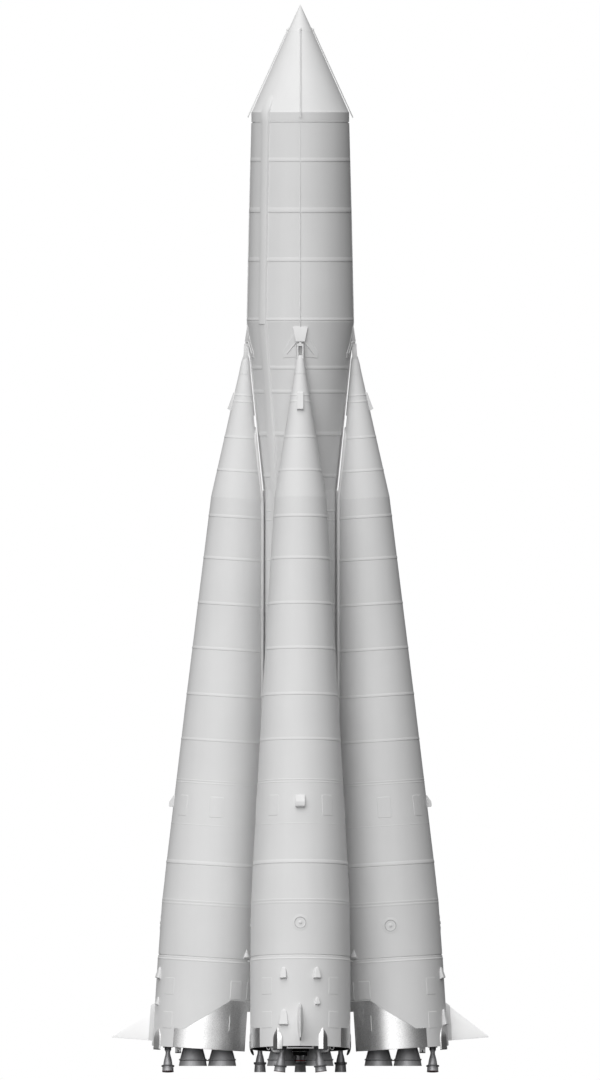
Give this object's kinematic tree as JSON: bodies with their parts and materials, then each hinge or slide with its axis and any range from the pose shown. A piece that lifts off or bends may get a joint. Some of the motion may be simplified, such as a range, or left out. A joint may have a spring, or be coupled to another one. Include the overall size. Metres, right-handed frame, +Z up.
{
  "type": "space rocket",
  "caption": "space rocket with a tapered core, strap-on boosters leaning on it, a pointed fairing, swivelling small engines and steering fins",
  "frame": {"origin": "the middle of the box's underside, on the core's axis where the vehicle stands", "axes": "+Z up to the nose, -Y to the front booster, +X to the right booster seen from the front"},
  "size_m": [10.2834, 10.2834, 29.17],
  "materials": {
    "grey_paint": "satin grey paint on aluminium sheet",
    "light_paint": "satin light grey paint on the fairing",
    "bare_heat_steel": "bare, vertically grained heat-resistant sheet",
    "dark_engine_metal": "dark heat-tinted nozzle metal",
    "bright_engine_metal": "bare machined metal"
  },
  "bodies": {
    "rocket": {"nose_cap": "light_paint", "nose_fairing": "light_paint", "fairing_band": "grey_paint", "oxidizer_tank": "grey_paint", "tank_taper": "grey_paint", "core_fuel_tank": "grey_paint", "core_tail_skirt": "grey_paint", "core_engine": "dark_engine_metal", "core_cable_duct": "grey_paint", "tail_tie_rods": "grey_paint", "core_bracket_front": "grey_paint", "core_bracket_right": "grey_paint", "core_bracket_back": "grey_paint", "core_bracket_left": "grey_paint", "booster_front_nose": "grey_paint", "booster_front_upper_tank": "grey_paint", "booster_front_lower_tank": "grey_paint", "booster_front_tail": "grey_paint", "booster_front_heat_skirt": "bare_heat_steel", "booster_front_engine": "dark_engine_metal", "booster_front_fin_pylon": "grey_paint", "booster_right_nose": "grey_paint", "booster_right_upper_tank": "grey_paint", "booster_right_lower_tank": "grey_paint", "booster_right_tail": "grey_paint", "booster_right_heat_skirt": "bare_heat_steel", "booster_right_engine": "dark_engine_metal", "booster_right_fin_pylon": "grey_paint", "booster_back_nose": "grey_paint", "booster_back_upper_tank": "grey_paint", "booster_back_lower_tank": "grey_paint", "booster_back_tail": "grey_paint", "booster_back_heat_skirt": "bare_heat_steel", "booster_back_engine": "dark_engine_metal", "booster_back_fin_pylon": "grey_paint", "booster_left_nose": "grey_paint", "booster_left_upper_tank": "grey_paint", "booster_left_lower_tank": "grey_paint", "booster_left_tail": "grey_paint", "booster_left_heat_skirt": "bare_heat_steel", "booster_left_engine": "dark_engine_metal", "booster_left_fin_pylon": "grey_paint"},
    "booster_front_swivel_a": {"booster_front_swivel_a": "bright_engine_metal"},
    "booster_front_swivel_b": {"booster_front_swivel_b": "bright_engine_metal"},
    "booster_front_fin": {"booster_front_fin": "grey_paint"},
    "booster_right_swivel_a": {"booster_right_swivel_a": "bright_engine_metal"},
    "booster_right_swivel_b": {"booster_right_swivel_b": "bright_engine_metal"},
    "booster_right_fin": {"booster_right_fin": "grey_paint"},
    "booster_back_swivel_a": {"booster_back_swivel_a": "bright_engine_metal"},
    "booster_back_swivel_b": {"booster_back_swivel_b": "bright_engine_metal"},
    "booster_back_fin": {"booster_back_fin": "grey_paint"},
    "booster_left_swivel_a": {"booster_left_swivel_a": "bright_engine_metal"},
    "booster_left_swivel_b": {"booster_left_swivel_b": "bright_engine_metal"},
    "booster_left_fin": {"booster_left_fin": "grey_paint"},
    "core_swivel_front": {"core_swivel_front": "bright_engine_metal"},
    "core_swivel_right": {"core_swivel_right": "bright_engine_metal"},
    "core_swivel_back": {"core_swivel_back": "bright_engine_metal"},
    "core_swivel_left": {"core_swivel_left": "bright_engine_metal"}
  },
  "joints": [
    {"name": "booster_front_swivel_a_hinge", "type": "hinge", "parent": "rocket", "child": "booster_front_swivel_a", "pos_m": [-0.479, -3.615, 0.74], "axis": [0, -1, 0], "range_deg": [-45, 45]},
    {"name": "booster_front_swivel_b_hinge", "type": "hinge", "parent": "rocket", "child": "booster_front_swivel_b", "pos_m": [0.479, -3.615, 0.74], "axis": [0, -1, 0], "range_deg": [-45, 45]},
    {"name": "booster_front_fin_hinge", "type": "hinge", "parent": "rocket", "child": "booster_front_fin", "pos_m": [0, -4.12709, 1.20532], "axis": [0, -0.998, 0.0628], "range_deg": [-20, 20]},
    {"name": "booster_right_swivel_a_hinge", "type": "hinge", "parent": "rocket", "child": "booster_right_swivel_a", "pos_m": [3.615, -0.479, 0.74], "axis": [1, 0, 0], "range_deg": [-45, 45]},
    {"name": "booster_right_swivel_b_hinge", "type": "hinge", "parent": "rocket", "child": "booster_right_swivel_b", "pos_m": [3.615, 0.479, 0.74], "axis": [1, 0, 0], "range_deg": [-45, 45]},
    {"name": "booster_right_fin_hinge", "type": "hinge", "parent": "rocket", "child": "booster_right_fin", "pos_m": [4.12709, 0, 1.20532], "axis": [0.998, 0, 0.0628], "range_deg": [-20, 20]},
    {"name": "booster_back_swivel_a_hinge", "type": "hinge", "parent": "rocket", "child": "booster_back_swivel_a", "pos_m": [0.479, 3.615, 0.74], "axis": [0, 1, 0], "range_deg": [-45, 45]},
    {"name": "booster_back_swivel_b_hinge", "type": "hinge", "parent": "rocket", "child": "booster_back_swivel_b", "pos_m": [-0.479, 3.615, 0.74], "axis": [0, 1, 0], "range_deg": [-45, 45]},
    {"name": "booster_back_fin_hinge", "type": "hinge", "parent": "rocket", "child": "booster_back_fin", "pos_m": [0, 4.12709, 1.20532], "axis": [0, 0.998, 0.0628], "range_deg": [-20, 20]},
    {"name": "booster_left_swivel_a_hinge", "type": "hinge", "parent": "rocket", "child": "booster_left_swivel_a", "pos_m": [-3.615, 0.479, 0.74], "axis": [-1, 0, 0], "range_deg": [-45, 45]},
    {"name": "booster_left_swivel_b_hinge", "type": "hinge", "parent": "rocket", "child": "booster_left_swivel_b", "pos_m": [-3.615, -0.479, 0.74], "axis": [-1, 0, 0], "range_deg": [-45, 45]},
    {"name": "booster_left_fin_hinge", "type": "hinge", "parent": "rocket", "child": "booster_left_fin", "pos_m": [-4.12709, 0, 1.20532], "axis": [-0.998, 0, 0.0628], "range_deg": [-20, 20]},
    {"name": "core_swivel_front_hinge", "type": "hinge", "parent": "rocket", "child": "core_swivel_front", "pos_m": [0, -1.1, 0.74], "axis": [0, -1, 0], "range_deg": [-45, 45]},
    {"name": "core_swivel_right_hinge", "type": "hinge", "parent": "rocket", "child": "core_swivel_right", "pos_m": [1.1, 0, 0.74], "axis": [1, 0, 0], "range_deg": [-45, 45]},
    {"name": "core_swivel_back_hinge", "type": "hinge", "parent": "rocket", "child": "core_swivel_back", "pos_m": [0, 1.1, 0.74], "axis": [0, 1, 0], "range_deg": [-45, 45]},
    {"name": "core_swivel_left_hinge", "type": "hinge", "parent": "rocket", "child": "core_swivel_left", "pos_m": [-1.1, 0, 0.74], "axis": [-1, 0, 0], "range_deg": [-45, 45]}
  ],
  "couplings": [
    {"joint": "booster_front_swivel_b_hinge", "follows": "booster_front_swivel_a_hinge", "ratio": 1},
    {"joint": "booster_right_swivel_b_hinge", "follows": "booster_right_swivel_a_hinge", "ratio": 1},
    {"joint": "booster_back_swivel_b_hinge", "follows": "booster_back_swivel_a_hinge", "ratio": 1},
    {"joint": "booster_left_swivel_b_hinge", "follows": "booster_left_swivel_a_hinge", "ratio": 1}
  ]
}
